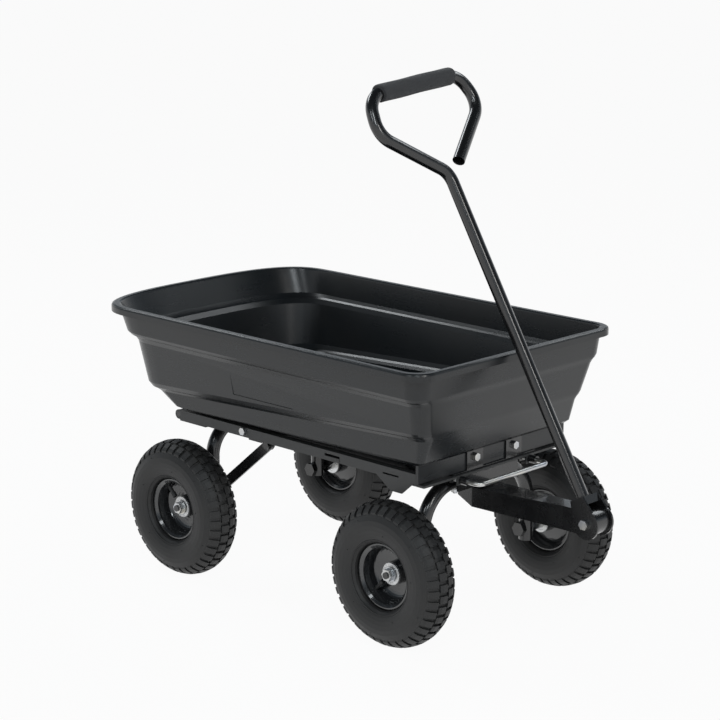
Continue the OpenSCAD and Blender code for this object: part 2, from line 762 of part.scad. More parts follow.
// Plate on the bolster with two tabs bolted to the apron and two keeper lugs for the latch
module catch_bracket() color(paint_black) {
  low = rail_z + seat;
  tab_x = apron_front + seat;
  top = under(apron_front);
  difference() {
    union() {
      translate([tab_x + catch_t - catch_l, -catch_y, low]) cube([catch_l, 2 * catch_y, catch_t]);
      for (s = [-1, 1]) {
        translate([tab_x, s * tab_y - tab_w / 2, low]) cube([catch_t, tab_w, top - low]);
        translate([keeper_x, s * latch_w / 2 - keeper_w / 2, latch_z - keeper_drop])
          cube([keeper_t, keeper_w, low + catch_t / 2 - latch_z + keeper_drop]);
      }
    }
    for (s = [-1, 1]) {
      translate([tab_x - over, s * tab_y, top - tab_bolt_drop]) along_x()
        cylinder(d = m8[0] + 2 * slip, h = catch_t + 2 * over);
      translate([keeper_x - over, s * latch_w / 2, latch_z]) along_x()
        cylinder(d = latch_d + 2 * seat, h = keeper_t + 2 * over);
    }
  }
}

module catch_bolts() color(zinc) for (s = [-1, 1])
  translate([apron_front + seat + catch_t + seat, s * tab_y, under(apron_front) - tab_bolt_drop]) rotate([0, -90, 0]) {
    grip = catch_t + apron_t + 3 * seat;
    bolt(m8, grip + m8[2] + thread_tail);
    translate([0, 0, grip]) nut(m8);
  }

// Chassis

// Channel rail with its flanges inwards and a round ear for the hinge rod at its tail
module side_rail(side) color(poly_black) on_side(side) difference() {
  g = rail_gauge;
  union() {
    yz_plate(hinge_x, rail_front_x - hinge_x) polygon([
      [rail_y, rail_z], [rail_y, rail_top], [rail_y - rail_top_flange, rail_top],
      [rail_y - rail_top_flange, rail_top - g], [rail_y - g, rail_top - g], [rail_y - g, rail_z + g],
      [rail_y - rail_flange, rail_z + g], [rail_y - rail_flange, rail_z]]);
    translate([hinge_x, rail_y - g, hinge_z]) along_y(1) cylinder(d = rail_h, h = g);
  }
  translate([hinge_x, rail_y - g - over, hinge_z]) along_y(1)
    cylinder(d = hinge_d + 2 * slip, h = g + 2 * over);
  translate([rest_x + rest_l / 2, rail_y - g - over, rest_bolt_z]) along_y(1)
    cylinder(d = m8[0] + 2 * slip, h = g + 2 * over);
  xz_plate(rail_y - g - over, g + 2 * over) {
    translate([front_x - slot_behind, rail_z + slot_up]) slot(slot_l, slot_h);
    translate([front_x - slot_behind + slot_l / 2 - slit_w, rail_z - over]) square([slit_w, slot_up + over]);
    translate([front_x - low_slot_behind, rail_z + g + low_slot_h]) slot(slot_l, low_slot_h);
  }
}

// Step-shaped bracket inside a rail that the tub's floor rests on
module tub_rest(side) color(paint_black) on_side(side) difference() {
  t = rest_t;
  y1 = rail_y - rail_gauge - seat;
  y0 = y1 - rest_w;
  z0 = rail_z + rail_gauge + seat;
  top = under(rest_x) - seat;
  head = rail_top - rail_gauge - seat;
  yz_plate(rest_x, rest_l) polygon([[y1, head], [y1, z0], [y0, z0], [y0, top], [y0 + rest_pad_w, top],
    [y0 + rest_pad_w, top - t], [y0 + t, top - t], [y0 + t, z0 + t], [y1 - t, z0 + t], [y1 - t, head]]);
  translate([rest_x + rest_l / 2, y1 - t - over, rest_bolt_z]) along_y(1)
    cylinder(d = m8[0] + 2 * slip, h = t + 2 * over);
}

module rail_bolts() color(zinc) for (s = [-1, 1])
  translate([rest_x + rest_l / 2, s * (rail_y + seat), rest_bolt_z]) along_y(-s)
    bolt(m8, rail_bolt_l);

module hinge_rod() color(paint_black)
  translate([hinge_x, -rail_y, hinge_z]) along_y(1) cylinder(d = hinge_d, h = 2 * rail_y);

module front_bolster() color(paint_black) {
  low = rail_z - bolster_t;
  y = rail_y - cheek_t;
  difference() {
    union() {
      translate([front_x - bolster_rear, -y - over, low]) cube([bolster_rear + bolster_front, 2 * (y + over), bolster_t]);
      // Tapered cheeks that hang at both ends
      for (s = [-1, 1]) xz_plate(s * (y + cheek_t / 2) - cheek_t / 2, cheek_t) polygon([
        [front_x + cheek_top[0], rail_z], [front_x + cheek_low[0], rail_z - cheek_drop],
        [front_x + cheek_low[1], rail_z - cheek_drop], [front_x + cheek_top[1], rail_z]]);
      // Lugs turned down at the front edge to guide the latch
      for (s = [-1, 1])
        translate([front_x + bolster_front - guide_t, s * latch_w / 2 - guide_w / 2, latch_z - guide_drop])
          cube([guide_t, guide_w, rail_z - bolster_t / 2 - latch_z + guide_drop]);
    }
    translate([front_x, 0, low - over]) cylinder(d = king_d + 2 * run, h = bolster_t + 2 * over);
    for (s = [-1, 1]) {
      translate([front_x + bolster_front - guide_t - over, s * latch_w / 2, latch_z]) along_x()
        cylinder(d = latch_d + 2 * run, h = guide_t + 2 * over);
      translate([keeper_x - keeper_room, s * latch_w / 2 - keeper_w / 2 - keeper_room / 2, low - over])
        cube([keeper_t + 2 * keeper_room, keeper_w + keeper_room, bolster_t + 2 * over]);
    }
  }
}

module latch_guides() color(paint_black) for (s = [-1, 1])
  translate([front_x + bolster_front, s * latch_w / 2, latch_z]) along_x()
    ring(sleeve_d, latch_d + 2 * run, sleeve_l);

module rear_crossplate() color(paint_black) difference() {
  translate([rear_x - rear_plate_l / 2, -rail_y + over, rail_z - plate_t])
    cube([rear_plate_l, 2 * (rail_y - over), plate_t]);
  strap_places() cylinder(d = m8[0] + 2 * slip, h = 3 * plate_t, center = true);
}

// The bolt places of the axle straps, at the plate's underside
module strap_places() for (x = [-1, 1], y = [-1, 1])
  translate([rear_x + x * (axle_tube_d / 2 + seat + strap_t + strap_ear / 2), y * strap_y, rail_z - plate_t]) children();

// Two straps round the underside of the rear axle tube, with ears on the cross plate
module rear_axle_straps() color(paint_black) difference() {
  r = axle_tube_d / 2 + seat;
  up = rail_z - plate_t - rear_axle_z;
  for (s = [-1, 1]) translate([rear_x, s * strap_y - strap_w / 2, rear_axle_z]) {
    difference() {
      along_y(1) cylinder(r = r + strap_t, h = strap_w);
      translate([0, -over, 0]) along_y(1) cylinder(r = r, h = strap_w + 2 * over);
      translate([-2 * r, -over, 0]) cube([4 * r, strap_w + 2 * over, 2 * r]);
    }
    for (e = [-1, 1]) {
      translate([e * (r + strap_t / 2) - strap_t / 2, 0, -strap_lap]) cube([strap_t, strap_w, up + strap_lap]);
      translate([e * (r + strap_t + strap_ear / 2) - strap_ear / 2, 0, up - strap_t])
        cube([strap_ear, strap_w, strap_t]);
    }
  }
  strap_places() cylinder(d = m8[0] + 2 * slip, h = 3 * strap_t, center = true);
}

module strap_bolts() color(zinc) strap_places() {
  grip = strap_t + plate_t + 2 * seat;
  translate([0, 0, -strap_t - seat]) {
    bolt(m8, grip + m8[2] + thread_tail);
    translate([0, 0, grip]) nut(m8);
  }
}

module rear_axle_tube() color(paint_black) axle_tube(rear_x, rear_axle_z, rear_bend_r, rear_foot);

// Strap across the rails with two lugs for the struts
module strut_crossmember() color(paint_black) difference() {
  union() {
    translate([strut_x - crossbar_l / 2, -rail_y + over, rail_z - plate_t])
      cube([crossbar_l, 2 * (rail_y - over), plate_t]);
    for (s = [-1, 1]) xz_plate(s * (strut_y - seat - lug_t / 2) - lug_t / 2, lug_t) {
      translate([strut_x - strut_w / 2, strut_z]) square([strut_w, rail_z - plate_t / 2 - strut_z]);
      translate([strut_x, strut_z]) circle(d = strut_w);
    }
  }
  for (s = [-1, 1]) translate([strut_x, s * (strut_y - 2 * lug_t), strut_z]) along_y(s)
    cylinder(d = m8[0] + 2 * slip, h = 3 * lug_t);
}

// Flat bar from the axle's foot up to the cross-member, round at both ends
module strut(side) color(paint_black) on_side(side) difference() {
  run_x = strut_x - rear_x;
  run_z = strut_z - hub_z;
  l = norm([run_x, run_z]);
  foot_w = stub_d + strut_w / 2;
  translate([rear_x, strut_y, hub_z]) rotate([0, -atan2(run_z, run_x), 0]) xz_plate(0, strut_t) {
    translate([0, -strut_w / 2]) square([l, strut_w]);
    translate([l, 0]) circle(d = strut_w);
    circle(d = foot_w);
  }
  translate([rear_x, strut_y - over, hub_z]) along_y(1) cylinder(d = stub_d + 2 * slip, h = strut_t + 2 * over);
  translate([strut_x, strut_y - over, strut_z]) along_y(1) cylinder(d = m8[0] + 2 * slip, h = strut_t + 2 * over);
}

module strut_bolts() color(zinc) for (s = [-1, 1])
  translate([strut_x, s * (strut_y + strut_t + seat), strut_z]) along_y(-s) {
    grip = strut_t + lug_t + 3 * seat;
    bolt(m8, grip + m8[2] + thread_tail);
    translate([0, 0, grip]) nut(m8);
  }

module rear_stub_axles() for (s = [-1, 1]) on_axle(rear_x, s) stub_axle();
module rear_axle_spacers() for (s = [-1, 1]) on_axle(rear_x, s) axle_spacer(strut_t + seat);
module rear_axle_nuts() for (s = [-1, 1]) on_axle(rear_x, s) axle_nut();

// Release latch: a bent rod that slides in its guides, with a stop collar on each leg
module latch_loop() color(zinc) {
  hw = latch_w / 2;
  bar_x = front_x + latch_reach;
  translate([0, 0, latch_z])
    bent_bar([[latch_tip_x, -hw], [bar_x, -hw], [bar_x, hw], [latch_tip_x, hw]],
      [0, latch_corner_r, latch_corner_r, 0], latch_d);
  for (s = [-1, 1])
    translate([front_x + bolster_front - guide_t - seat - collar_l, s * hw, latch_z]) along_x()
      cylinder(d = collar_d, h = collar_l);
}

// Steering

module king_bore(z, h) translate([front_x, 0, z - over]) cylinder(d = king_d + 2 * slip, h = h + 2 * over);
module saddle_places(z) for (s = [-1, 1]) translate([front_x, s * saddle_bolt_y, z]) children();

module front_axle_tube() color(paint_black) difference() {
  axle_tube(front_x, front_axle_z, front_bend_r, front_foot);
  king_bore(front_axle_z - axle_tube_d / 2, axle_tube_d);
  saddle_places(front_axle_z) cylinder(d = m8[0] + 2 * slip, h = 2 * axle_tube_d, center = true);
}

// Inverted channel over the axle tube
module steering_saddle() color(paint_black) difference() {
  translate([0, -saddle_hy, 0]) rotate([90, 0, 180]) linear_extrude(2 * saddle_hy) polygon([
    [-front_x - saddle_hx, saddle_z - saddle_drop], [-front_x - saddle_hx, saddle_z + saddle_t],
    [-front_x + saddle_hx, saddle_z + saddle_t], [-front_x + saddle_hx, saddle_z - saddle_drop],
    [-front_x + saddle_hx - saddle_t, saddle_z - saddle_drop], [-front_x + saddle_hx - saddle_t, saddle_z],
    [-front_x - saddle_hx + saddle_t, saddle_z], [-front_x - saddle_hx + saddle_t, saddle_z - saddle_drop]]);
  king_bore(saddle_z, saddle_t);
  saddle_places(saddle_z - over) cylinder(d = m8[0] + 2 * slip, h = saddle_t + 2 * over);
}

module turntable_ring() color(zinc) translate([front_x, 0, saddle_z + saddle_t])
  ring(ring_d, king_d + 2 * slip, ring_h - seat);

module king_pin() color(zinc) translate([front_x, 0, rail_z + seat]) rotate([180, 0, 0])
  bolt(king, rail_z + seat - tongue_top + tongue_gauge + seat + king_nut[2] + thread_tail);

module king_pin_nut() color(zinc) translate([front_x, 0, tongue_top - tongue_gauge - seat - king_nut[2]]) nut(king_nut);

module saddle_bolts() color(zinc) saddle_places(saddle_z + saddle_t + seat) rotate([180, 0, 0]) {
  grip = saddle_t + axle_tube_d + 3 * seat;
  bolt(m8, grip + m8[2] + thread_tail);
  translate([0, 0, grip]) nut(m8);
}

// Pressed tongue: an inverted channel that narrows to a round nose
module tongue_form(wall) intersection() {
  rear = front_x - tongue_rear;
  hw = tongue_w / 2 - wall;
  nose_hw = nose_w / 2 - wall;
  r = nose_r - wall;
  union() {
    xz_plate(-tongue_w, 2 * tongue_w) polygon([
      [rear - wall, tongue_top - wall], [front_x + tongue_level, tongue_top - wall], [pivot_x, pivot_z + r],
      [pivot_x, pivot_z - nose_r - wall], [front_x + tongue_cut, tongue_low - wall],
      [rear - wall, tongue_low + tongue_cut - 2 * wall]]);
    translate([pivot_x, -tongue_w, pivot_z]) along_y(1) cylinder(r = r, h = 2 * tongue_w);
  }
  translate([0, 0, tongue_low - tongue_h]) linear_extrude(3 * tongue_h) polygon([
    [rear - wall, -hw], [front_x + tongue_cut, -hw], [pivot_x - tongue_neck, -nose_hw],
    [pivot_x + nose_r, -nose_hw], [pivot_x + nose_r, nose_hw], [pivot_x - tongue_neck, nose_hw],
    [front_x + tongue_cut, hw], [rear - wall, hw]]);
}

module tongue() color(paint_black) difference() {
  tongue_form(0);
  tongue_form(tongue_gauge);
  king_bore(tongue_low, tongue_h);
  translate([pivot_x, -tongue_w, pivot_z]) along_y(1) cylinder(d = pivot_d + 2 * run, h = 2 * tongue_w);
}

// Sleeve on the pivot bolt that keeps the tongue's flanks apart
module pivot_spacer() color(zinc) translate([pivot_x, -nose_w / 2 + tongue_gauge, pivot_z]) along_y(1)
  ring(pivot_spacer_d, pivot_d + 2 * run, nose_w - 2 * tongue_gauge);

module front_stub_axles() for (s = [-1, 1]) on_axle(front_x, s) stub_axle();
module front_axle_spacers() for (s = [-1, 1]) on_axle(front_x, s) axle_spacer(0);
module front_axle_nuts() for (s = [-1, 1]) on_axle(front_x, s) axle_nut();

// Handle, drawn along +Z from its pivot and leaned back

module on_pivot() translate([pivot_x, 0, pivot_z]) rotate([0, -handle_lean, 0]) children();
module on_shaft() on_pivot() rotate([handle_skew, 0, 0]) children();

module handle_tube() color(paint_black) on_shaft() rotate([90, 0, 90])
  bent_tube(handle_route, handle_bends, handle_d, tube_t);

// Forked yoke whose bridge stops on the tongue
module handle_yoke() color(paint_black) on_pivot() difference() {
  union() {
    for (s = [-1, 1]) xz_plate(s * (ear_y + ear_t / 2) - ear_t / 2, ear_t) {
      circle(r = yoke_r);
      polygon([[-yoke_r, 0], [yoke_r, 0], [ear_top_hw, shaft_foot], [-ear_top_hw, shaft_foot]]);
    }
    translate([-bridge_hw, -ear_y - ear_t / 2, bridge_v]) cube([2 * bridge_hw, 2 * ear_y + ear_t, bridge_l]);
  }
  translate([0, -ear_y - ear_t - over, 0]) along_y(1)
    cylinder(d = pivot_d + 2 * slip, h = 2 * (ear_y + ear_t + over));
}

module handle_grip() color(foam_grey) on_shaft() translate([0, grip_side - grip_l / 2, handle_l]) along_y(1)
  rotate_extrude() polygon([[handle_d / 2 + slip, 0], [grip_d / 2 - grip_chamfer, 0], [grip_d / 2, grip_chamfer],
    [grip_d / 2, grip_l - grip_chamfer], [grip_d / 2 - grip_chamfer, grip_l], [handle_d / 2 + slip, grip_l]]);

module pivot_bolt() color(zinc) translate([pivot_x, -ear_y - ear_t - seat, pivot_z]) along_y(1) {
  grip = 2 * (ear_y + ear_t + seat) + seat;
  bolt(pivot, grip + pivot[2] + thread_tail);
  translate([0, 0, grip]) nut(pivot);
}

tub();
hinge_bracket(1);  // tub_hinge_bracket_left
hinge_bracket(-1);  // tub_hinge_bracket_right
hinge_bracket_bolts();
catch_bracket();
catch_bolts();
side_rail(1);  // side_rail_left
side_rail(-1);  // side_rail_right
front_bolster();
latch_guides();
strut_crossmember();
rear_crossplate();
rear_axle_tube();
rear_axle_straps();
strap_bolts();
strut(1);  // strut_left
strut(-1);  // strut_right
strut_bolts();
hinge_rod();
tub_rest(1);  // tub_rest_left
tub_rest(-1);  // tub_rest_right
rail_bolts();
rear_stub_axles();
rear_axle_spacers();
rear_axle_nuts();
latch_loop();
front_axle_tube();
steering_saddle();
turntable_ring();
king_pin();
king_pin_nut();
saddle_bolts();
tongue();
pivot_spacer();
front_stub_axles();
front_axle_spacers();
front_axle_nuts();
handle_tube();
handle_yoke();
handle_grip();
pivot_bolt();
on_axle(front_x, 1, front_spin) tyre();  // tyre_front_left
on_axle(front_x, 1, front_spin) inner_tube();  // inner_tube_front_left
on_axle(front_x, 1, front_spin) rim();  // rim_front_left
on_axle(front_x, 1, front_spin) bearings();  // bearings_front_left
on_axle(front_x, -1, front_spin) tyre();  // tyre_front_right
on_axle(front_x, -1, front_spin) inner_tube();  // inner_tube_front_right
on_axle(front_x, -1, front_spin) rim();  // rim_front_right
on_axle(front_x, -1, front_spin) bearings();  // bearings_front_right
on_axle(rear_x, 1, rear_spin) tyre();  // tyre_rear_left
on_axle(rear_x, 1, rear_spin) inner_tube();  // inner_tube_rear_left
on_axle(rear_x, 1, rear_spin) rim();  // rim_rear_left
on_axle(rear_x, 1, rear_spin) bearings();  // bearings_rear_left
on_axle(rear_x, -1, rear_spin) tyre();  // tyre_rear_right
on_axle(rear_x, -1, rear_spin) inner_tube();  // inner_tube_rear_right
on_axle(rear_x, -1, rear_spin) rim();  // rim_rear_right
on_axle(rear_x, -1, rear_spin) bearings();  // bearings_rear_right
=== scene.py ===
import math

import bmesh
import bpy
from mathutils import Matrix, Vector


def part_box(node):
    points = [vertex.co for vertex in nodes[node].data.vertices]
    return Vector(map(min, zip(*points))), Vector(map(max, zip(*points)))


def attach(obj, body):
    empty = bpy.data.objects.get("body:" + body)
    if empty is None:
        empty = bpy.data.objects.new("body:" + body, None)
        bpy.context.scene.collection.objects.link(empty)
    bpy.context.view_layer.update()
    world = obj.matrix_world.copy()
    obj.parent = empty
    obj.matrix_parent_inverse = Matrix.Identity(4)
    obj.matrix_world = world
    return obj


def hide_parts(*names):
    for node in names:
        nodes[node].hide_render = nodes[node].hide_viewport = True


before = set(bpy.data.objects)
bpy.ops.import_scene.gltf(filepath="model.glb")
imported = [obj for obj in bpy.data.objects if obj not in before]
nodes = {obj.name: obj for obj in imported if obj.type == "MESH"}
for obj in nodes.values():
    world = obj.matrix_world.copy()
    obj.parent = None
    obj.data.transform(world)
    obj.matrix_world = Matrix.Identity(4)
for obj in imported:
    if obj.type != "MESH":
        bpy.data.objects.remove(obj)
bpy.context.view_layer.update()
print("frame loaded with", len(nodes), "solids")

wheelNames = ["front_left", "front_right", "rear_left", "rear_right"]


# Small helpers for working in object and edit mode

def putDown():
    if bpy.context.object and bpy.context.object.mode != "OBJECT":
        bpy.ops.object.mode_set(mode="OBJECT")
    bpy.ops.object.select_all(action="DESELECT")


def pickUp(*objects):
    putDown()
    for each in objects:
        each.select_set(True)
    bpy.context.view_layer.objects.active = objects[0]


def editAll(piece):
    pickUp(piece)
    bpy.ops.object.mode_set(mode="EDIT")
    bpy.ops.mesh.select_all(action="SELECT")


def named(name):
    piece = bpy.context.object
    piece.name = name
    piece.data.name = name
    return piece


def settle(piece):
    pickUp(piece)
    bpy.ops.object.transform_apply(location=True, rotation=True, scale=True)


def applyModifier(piece, kind, **settings):
    pickUp(piece)
    added = piece.modifiers.new(kind.lower(), kind)
    for key, value in settings.items():
        setattr(added, key, value)
    bpy.ops.object.modifier_apply(modifier=added.name)


def smooth(piece, degrees):
    pickUp(piece)
    bpy.ops.object.shade_smooth_by_angle(angle=math.radians(degrees))


def middleOf(node):
    low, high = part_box(node)
    return (low + high) / 2


def dress(piece, finish):
    piece.data.materials.clear()
    piece.data.materials.append(finish)


# Shader sums and nodes

class Wire:
    def __init__(self, finish, socket):
        self.finish, self.socket = finish, socket

    def sum(self, how, a, b):
        return self.finish.node("ShaderNodeMath", {"operation": how}, {0: a, 1: b})

    def __add__(self, other):
        return self.sum("ADD", self, other)

    def __radd__(self, other):
        return self.sum("ADD", other, self)

    def __sub__(self, other):
        return self.sum("SUBTRACT", self, other)

    def __rsub__(self, other):
        return self.sum("SUBTRACT", other, self)

    def __mul__(self, other):
        return self.sum("MULTIPLY", self, other)

    def __rmul__(self, other):
        return self.sum("MULTIPLY", other, self)


class Shading:
    def __init__(self, tree):
        self.tree = tree

    def node(self, kind, settings=None, sockets=None, out=0):
        made = self.tree.nodes.new(kind)
        for key, value in (settings or {}).items():
            if key == "stops":
                ramp = made.color_ramp
                while len(ramp.elements) < len(value):
                    ramp.elements.new(1.0)
                for stop, (place, shade) in zip(ramp.elements, value):
                    stop.position = place
                    stop.color = (shade, shade, shade, 1.0)
            else:
                setattr(made, key, value)
        for key, value in (sockets or {}).items():
            self.feed(made.inputs[key], value)
        return Wire(self, made.outputs[out])

    def feed(self, socket, value):
        if isinstance(value, Wire):
            self.tree.links.new(value.socket, socket)
        else:
            socket.default_value = value


class Finish(Shading):
    def __init__(self, name, **fixed):
        self.material = bpy.data.materials.new(name)
        self.material.use_nodes = True
        super().__init__(self.material.node_tree)
        self.shader = self.tree.nodes["Principled BSDF"]
        for key, value in fixed.items():
            self.shader.inputs[key.replace("_", " ")].default_value = value

    def shade(self, **sockets):
        for key, value in sockets.items():
            self.feed(self.shader.inputs[key.replace("_", " ")], value)
        return self.material

    def place(self, centre=(0, 0, 0), stretch=(1, 1, 1)):
        where = self.node("ShaderNodeTexCoord", out="Object")
        shift = tuple(-c * s for c, s in zip(centre, stretch))
        return self.node("ShaderNodeMapping", sockets={"Vector": where, "Location": shift, "Scale": stretch})

    def noise(self, where, scale, detail=2.0, roughness=0.5):
        return self.node("ShaderNodeTexNoise", {"noise_dimensions": "3D"},
                         {"Vector": where, "Scale": scale, "Detail": detail, "Roughness": roughness})

    def ramp(self, value, *stops):
        return self.node("ShaderNodeValToRGB", {"stops": stops}, {"Fac": value})

    def blend(self, amount, first, second):
        return self.node("ShaderNodeMix", {"data_type": "RGBA"},
                         {0: amount, 6: (*first, 1.0), 7: (*second, 1.0)}, out=2)

    def bump(self, height, distance, strength=1.0):
        return self.node("ShaderNodeBump", None, {"Strength": strength, "Distance": distance, "Height": height})


# Camera where the photograph was taken from

shot = {"azimuth": 44.137, "elevation": 13.772, "place": (2.599, -2.7336, 1.3535), "lens": 106.23, "sensor": 36.0}


def setCamera():
    turn = (math.radians(90 - shot["elevation"]), 0, math.radians(shot["azimuth"]))
    bpy.ops.object.camera_add(location=shot["place"], rotation=turn)
    camera = bpy.context.object
    camera.data.lens = shot["lens"]
    camera.data.sensor_width = shot["sensor"]
    camera.data.clip_end = 100
    bpy.context.scene.camera = camera


putDown()
setCamera()
print("camera set")


# Pale studio: white floor and horizon, darker overhead, soft boxes

studio = {"floorSize": 90, "floorShade": 0.82, "horizonFrom": 0.03, "horizonTo": 0.50, "overhead": 0.05,
          "overheadTint": (0.62, 0.82, 1.0), "shadowShare": 0.05}
lamps = [
    {"name": "cameraSoftbox", "place": (2.05, -2.15, 2.6), "aim": (-0.2, 0, 0.4), "size": (0.55, 1.2), "power": 24,
     "tint": (0.90, 0.96, 1.0)},
    {"name": "nearSoftbox", "place": (0.5, -3.1, 2.4), "aim": (-0.1, 0, 0.4), "size": (0.5, 1.0), "power": 11,
     "tint": (0.92, 0.97, 1.0)},
    {"name": "frontSoftbox", "place": (3.4, -0.9, 2.2), "aim": (0.1, 0, 0.35), "size": (0.6, 1.2), "power": 20,
     "tint": (1.0, 0.99, 0.97)},
    {"name": "farSoftbox", "place": (0.5, 2.5, 2.7), "aim": (0, 0, 0.45), "size": (2.2, 0.6), "power": 18,
     "tint": (0.93, 0.97, 1.0)},
    {"name": "rearSoftbox", "place": (-2.5, -0.3, 2.9), "aim": (0, 0, 0.45), "size": (1.8, 0.6), "power": 34,
     "tint": (0.93, 0.97, 1.0)},
]


def setStudio():
    scene = bpy.context.scene
    scene.view_settings.view_transform = "Standard"
    scene.world = bpy.data.worlds.new("studioWorld")
    scene.world.use_nodes = True
    sky = Shading(scene.world.node_tree)
    ray = sky.node("ShaderNodeTexCoord", out="Generated")
    high = sky.node("ShaderNodeSeparateXYZ", None, {0: ray}, out="Z")
    fade = sky.node("ShaderNodeMapRange", {"interpolation_type": "SMOOTHSTEP"},
                    {"Value": high, "From Min": studio["horizonFrom"], "From Max": studio["horizonTo"],
                     "To Min": 1.0, "To Max": studio["overhead"]})
    seen = sky.node("ShaderNodeLightPath", out="Is Camera Ray")
    light = sky.tree.nodes["Background"]
    level = fade.sum("MAXIMUM", fade, seen)
    sky.feed(light.inputs["Strength"], level)
    sky.feed(light.inputs["Color"], sky.node("ShaderNodeMix", {"data_type": "RGBA"},
                                             {0: level, 6: (*studio["overheadTint"], 1), 7: (1, 1, 1, 1)}, out=2))
    for lamp in lamps:
        place, aim = Vector(lamp["place"]), Vector(lamp["aim"])
        bpy.ops.object.light_add(type="AREA", location=place)
        box = bpy.context.object
        box.name = lamp["name"]
        box.rotation_euler = (aim - place).to_track_quat("-Z", "Y").to_euler()
        box.data.shape = "RECTANGLE"
        box.data.size, box.data.size_y = lamp["size"]
        box.data.energy = lamp["power"]
        box.data.color = lamp["tint"]


def layFloor():
    putDown()
    bpy.ops.mesh.primitive_plane_add(size=studio["floorSize"], location=(0, 0, 0))
    floor = named("studioFloor")
    paper = Finish("paperFloor", Roughness=0.9, Base_Color=(studio["floorShade"],) * 3 + (1,))
    camera = paper.node("ShaderNodeLightPath", out="Is Camera Ray")
    glossy = paper.node("ShaderNodeLightPath", out="Is Glossy Ray")
    white = paper.node("ShaderNodeEmission", None, {"Strength": 1.0})
    mixed = paper.node("ShaderNodeMixShader")
    share = camera * (1 - studio["shadowShare"]) + glossy * (1 - studio["shadowShare"])
    for slot, wire in zip((0, 1, 2), (share, Wire(paper, paper.shader.outputs[0]), white)):
        paper.feed(mixed.socket.node.inputs[slot], wire)
    paper.feed(paper.tree.nodes["Material Output"].inputs["Surface"], mixed)
    dress(floor, paper.material)


setStudio()
layFloor()
print("studio set")


# Finishes

def tubPlastic():
    f = Finish("tubPlastic", Specular_IOR_Level=0.5)
    where = f.place()
    cloud = f.noise(where, scale=7.0, detail=4.0, roughness=0.6)
    grain = f.noise(where, scale=900.0, detail=2.0)
    flow = f.noise(f.place(stretch=(4, 4, 30)), scale=3.0, detail=3.0)
    colour = f.blend(f.ramp(cloud, (0.35, 0.0), (0.7, 1.0)), (0.0080, 0.0104, 0.0124), (0.0120, 0.0130, 0.0138))
    height = grain * 0.6 + f.noise(where, scale=170.0, detail=2.0) * 0.4
    return f.shade(Base_Color=colour, Roughness=0.2 + 0.09 * cloud + 0.05 * flow + 0.02 * grain,
                   Normal=f.bump(height, distance=0.00016, strength=0.12))


def railPaint():
    f = Finish("railPaint")
    where = f.place()
    cloud = f.noise(where, scale=22.0, detail=4.0, roughness=0.6)
    colour = f.blend(cloud, (0.034, 0.035, 0.0355), (0.046, 0.046, 0.045))
    return f.shade(Base_Color=colour, Roughness=0.42 + 0.12 * cloud,
                   Normal=f.bump(f.noise(where, scale=700.0, detail=2.0), distance=0.0003, strength=0.5))


def blackPaint():
    f = Finish("blackPaint", Coat_Roughness=0.06, Coat_IOR=1.5)
    where = f.place()
    cloud = f.noise(where, scale=35.0, detail=3.0)
    peel = f.noise(where, scale=330.0, detail=1.0)
    colour = f.blend(cloud, (0.006, 0.006, 0.0066), (0.0095, 0.0095, 0.01))
    return f.shade(Base_Color=colour, Roughness=0.22 + 0.1 * cloud, Coat_Weight=0.45 + 0.2 * cloud,
                   Normal=f.bump(peel, distance=0.0004, strength=0.25))


def rimPaintWithPaintedReflection():
    f = Finish("rimPaintWithPaintedReflection", Coat_Roughness=0.05, Coat_IOR=1.55)
    where = f.place()
    cloud = f.noise(where, scale=30.0, detail=3.0)
    # Base colour set lighter than the other black paint as painted reflection: it stands in for the pale floor
    # reflected in the rim bowls.
    colour = f.blend(cloud, (0.017, 0.018, 0.0195), (0.026, 0.027, 0.028))
    return f.shade(Base_Color=colour, Roughness=0.2 + 0.1 * cloud, Coat_Weight=0.75 + 0.2 * cloud,
                   Normal=f.bump(f.noise(where, scale=330.0, detail=1.0), distance=0.0004, strength=0.2))


def zincPlate():
    f = Finish("zincPlate", Metallic=1.0)
    where = f.place()
    mottle = f.noise(where, scale=140.0, detail=4.0, roughness=0.65)
    tint = f.noise(where, scale=30.0, detail=2.0)
    colour = f.blend(f.ramp(tint, (0.35, 0.0), (0.65, 1.0)), (0.50, 0.52, 0.55), (0.62, 0.61, 0.57))
    return f.shade(Base_Color=colour, Roughness=0.2 + 0.22 * mottle,
                   Normal=f.bump(mottle, distance=0.0003, strength=0.3))


def bearingSteel(name, centre):
    f = Finish("bearingSteel_" + name, Metallic=1.0)
    flat = f.place(centre, (1, 0, 1))
    radius = f.node("ShaderNodeVectorMath", {"operation": "LENGTH"}, {0: flat}, out="Value")
    turned = f.node("ShaderNodeMath", {"operation": "SINE"}, {0: radius * 9000.0})
    mottle = f.noise(f.place(), scale=160.0, detail=3.0)
    colour = f.blend(mottle, (0.52, 0.54, 0.57), (0.72, 0.72, 0.70))
    return f.shade(Base_Color=colour, Roughness=0.18 + 0.2 * mottle,
                   Normal=f.bump(turned, distance=0.00015, strength=0.35))


def tyreRubber(name, centre):
    f = Finish("tyreRubber_" + name)
    where = f.place()
    flat = f.place(centre, (1, 0, 1))
    radius = f.node("ShaderNodeVectorMath", {"operation": "LENGTH"}, {0: flat}, out="Value")
    wall = f.ramp(radius * 5.0, (0.50, 1.0), (0.56, 0.0))
    lines = f.node("ShaderNodeMath", {"operation": "SINE"}, {0: radius * 4200.0})
    dust = f.noise(where, scale=28.0, detail=5.0, roughness=0.65)
    grain = f.noise(where, scale=900.0, detail=2.0)
    colour = f.blend(f.ramp(dust, (0.3, 0.0), (0.75, 1.0)), (0.0095, 0.0100, 0.0108), (0.0185, 0.0180, 0.0170))
    height = grain * 0.5 + lines * wall * 0.18
    return f.shade(Base_Color=colour, Roughness=0.42 + 0.18 * dust + 0.06 * grain,
                   Normal=f.bump(height, distance=0.0004, strength=0.5))


